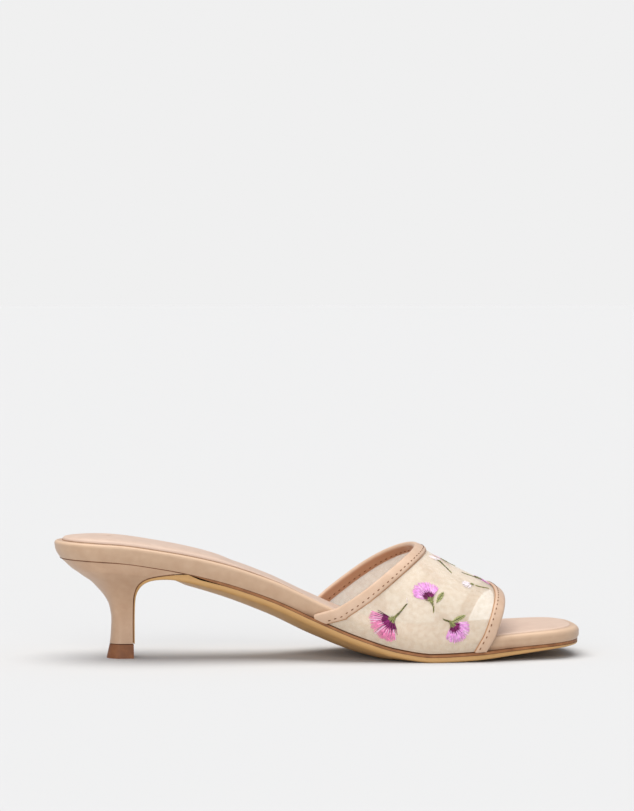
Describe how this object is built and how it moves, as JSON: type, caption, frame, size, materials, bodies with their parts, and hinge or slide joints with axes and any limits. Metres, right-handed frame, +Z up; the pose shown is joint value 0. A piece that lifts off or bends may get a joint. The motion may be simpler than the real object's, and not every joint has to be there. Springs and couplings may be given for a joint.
{
  "type": "high heel shoe",
  "caption": "Low kitten heel slide mule, right foot: leather-wrapped footbed and heel, padded sock, thin sole and a semi-sheer mesh vamp with folded leather edges, open at toe and back.",
  "frame": {"origin": "middle of the underside of the shoe's box, on the floor", "axes": "+X towards the toe, +Y towards the inner side of the foot, +Z up"},
  "size_m": [0.2446, 0.088, 0.0569],
  "materials": {
    "band_leather": "smooth satin leather, fine grain",
    "sock_leather": "soft matt leather over thin padding",
    "midsole_edge": "dark brown waxed edge",
    "outsole_leather": "tan smooth leather-look sole, satin",
    "heel_leather": "smooth satin leather wrap",
    "top_piece_rubber": "hard brown rubber, matt",
    "vamp_mesh": "fine semi-sheer woven mesh, matt",
    "binding_leather": "folded smooth leather, satin"
  },
  "bodies": {
    "root": {"footbed": "band_leather", "insole": "sock_leather", "midsole": "midsole_edge", "outsole": "outsole_leather", "heel": "heel_leather", "top_piece": "top_piece_rubber", "upper": "vamp_mesh", "collar_binding": "binding_leather", "toe_binding": "binding_leather"}
  },
  "joints": []
}
